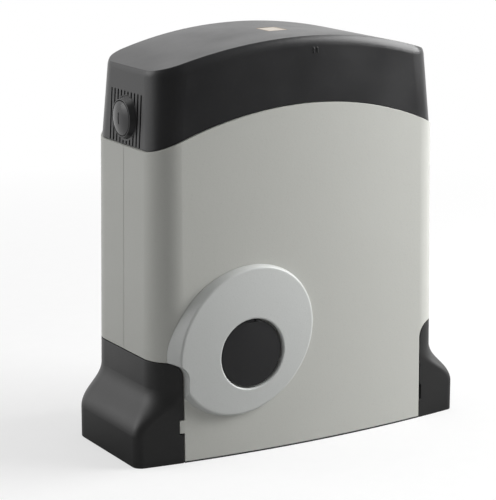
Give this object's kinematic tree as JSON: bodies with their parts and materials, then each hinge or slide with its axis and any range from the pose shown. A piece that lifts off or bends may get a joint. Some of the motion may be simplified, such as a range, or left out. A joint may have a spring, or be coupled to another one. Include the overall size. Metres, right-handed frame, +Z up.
{
  "type": "sliding gate motor",
  "caption": "Upright sliding gate motor: light grey bowed casing, black arched cover with a lock, flared feet, oval front escutcheon and a toothed pinion at the rear.",
  "frame": {"origin": "middle of the base plate's underside", "axes": "+Z up, the front with the escutcheon faces -Y, the long side lies along X, the pinion looks to +Y"},
  "size_m": [0.349, 0.1956, 0.3765],
  "materials": {
    "casing_paint": "satin light grey paint",
    "trim_paint": "satin light grey paint",
    "black_plastic": "fine grained moulding",
    "lock_plastic": "semi gloss moulding",
    "badge": "pale satin plate",
    "plate_steel": "black powder coat",
    "sheet_steel": "zinc plated",
    "cast_alloy": "sand blasted casting",
    "steel": "ground",
    "gear_steel": "zinc plated, machined",
    "bronze": "machined bronze",
    "core_iron": "stacked laminations",
    "copper": "varnished wire",
    "seal_rubber": "matt",
    "tray_plastic": "moulded",
    "board": "solder resist",
    "terminal": "moulded",
    "component": "moulded",
    "capacitor_skin": "satin",
    "transformer_wrap": "varnished tape over a wound core",
    "knob_plastic": "moulded"
  },
  "bodies": {
    "chassis": {"base_plate": "plate_steel", "levelling_screws": "steel", "cable_grommet": "seal_rubber", "gearbox_housing": "cast_alloy", "housing_bolts": "steel", "gearbox_cover": "cast_alloy", "gearbox_screws": "steel", "front_bearing": "steel", "rear_bearing": "steel", "shaft_seal": "seal_rubber", "lower_worm_bearing": "steel", "upper_worm_bearing": "steel", "motor_bearing": "steel", "motor_can": "plate_steel", "stator_core": "core_iron", "stator_windings": "copper", "motor_end_bell": "cast_alloy", "motor_tie_bolts": "steel", "encoder_sensor": "component", "left_upright": "sheet_steel", "right_upright": "sheet_steel", "electronics_tray": "tray_plastic", "frame_screws": "steel", "control_board": "board", "board_screws": "steel", "terminal_blocks": "terminal", "relays": "component", "fuse_holder": "component", "board_capacitors": "component", "receiver_module": "board", "button_housings": "component", "transformer": "transformer_wrap", "transformer_clamp": "steel", "run_capacitor": "capacitor_skin", "capacitor_clip": "sheet_steel", "front_shell": "casing_paint", "rear_shell": "casing_paint", "front_escutcheon": "trim_paint"},
    "cover": {"top_cover": "black_plastic", "badge_plate": "badge", "lock_body": "lock_plastic"},
    "lock": {"lock_cylinder": "lock_plastic", "lock_cam": "steel"},
    "hatch": {"hatch_cap": "black_plastic"},
    "release": {"release_knob": "knob_plastic"},
    "clutch": {"clutch_ring": "gear_steel", "clutch_rod": "steel"},
    "output": {"output_shaft": "steel", "worm_wheel": "bronze", "pinion": "gear_steel", "pinion_key": "steel", "pinion_washer": "steel", "pinion_screw": "steel"},
    "rotor": {"worm_shaft": "steel", "rotor_core": "core_iron", "encoder_disc": "component"},
    "left_foot": {"left_foot_cover": "black_plastic"},
    "right_foot": {"right_foot_cover": "black_plastic"},
    "step_key": {"step_button": "component"},
    "learn_key": {"learn_button": "component"}
  },
  "joints": [
    {"name": "cover_lift", "type": "slide", "parent": "chassis", "child": "cover", "axis": [0, 0, 1], "range_m": [0, 0.12]},
    {"name": "lock_turn", "type": "hinge", "parent": "cover", "child": "lock", "pos_m": [-0.15, 0, 0.3065], "axis": [1, 0, 0], "range_deg": [0, 90]},
    {"name": "hatch_pull", "type": "slide", "parent": "chassis", "child": "hatch", "axis": [0, -1, 0], "range_m": [0, 0.03]},
    {"name": "release_turn", "type": "hinge", "parent": "chassis", "child": "release", "pos_m": [-0.0643, -0.055, 0.0955], "axis": [0, 1, 0], "range_deg": [0, 90]},
    {"name": "output_turn", "type": "hinge", "parent": "chassis", "child": "output", "pos_m": [-0.0643, 0, 0.0955], "axis": [0, 1, 0], "continuous": true},
    {"name": "clutch_slide", "type": "slide", "parent": "output", "child": "clutch", "axis": [0, -1, 0], "range_m": [0, 0.004]},
    {"name": "rotor_turn", "type": "hinge", "parent": "chassis", "child": "rotor", "pos_m": [-0.0143, 0, 0.2], "axis": [0, 0, 1], "continuous": true},
    {"name": "left_foot_pull", "type": "slide", "parent": "chassis", "child": "left_foot", "axis": [-1, 0, 0], "range_m": [0, 0.05]},
    {"name": "right_foot_pull", "type": "slide", "parent": "chassis", "child": "right_foot", "axis": [1, 0, 0], "range_m": [0, 0.05]},
    {"name": "step_press", "type": "slide", "parent": "chassis", "child": "step_key", "axis": [0, 0, -1], "range_m": [0, 0.0008], "stiffness_N_per_m": 300, "springref_m": -0.002},
    {"name": "learn_press", "type": "slide", "parent": "chassis", "child": "learn_key", "axis": [0, 0, -1], "range_m": [0, 0.0008], "stiffness_N_per_m": 300, "springref_m": -0.002}
  ],
  "couplings": [
    {"joint": "rotor_turn", "follows": "output_turn", "ratio": 32},
    {"joint": "release_turn", "follows": "clutch_slide", "rad_per_m": 392.7}
  ]
}
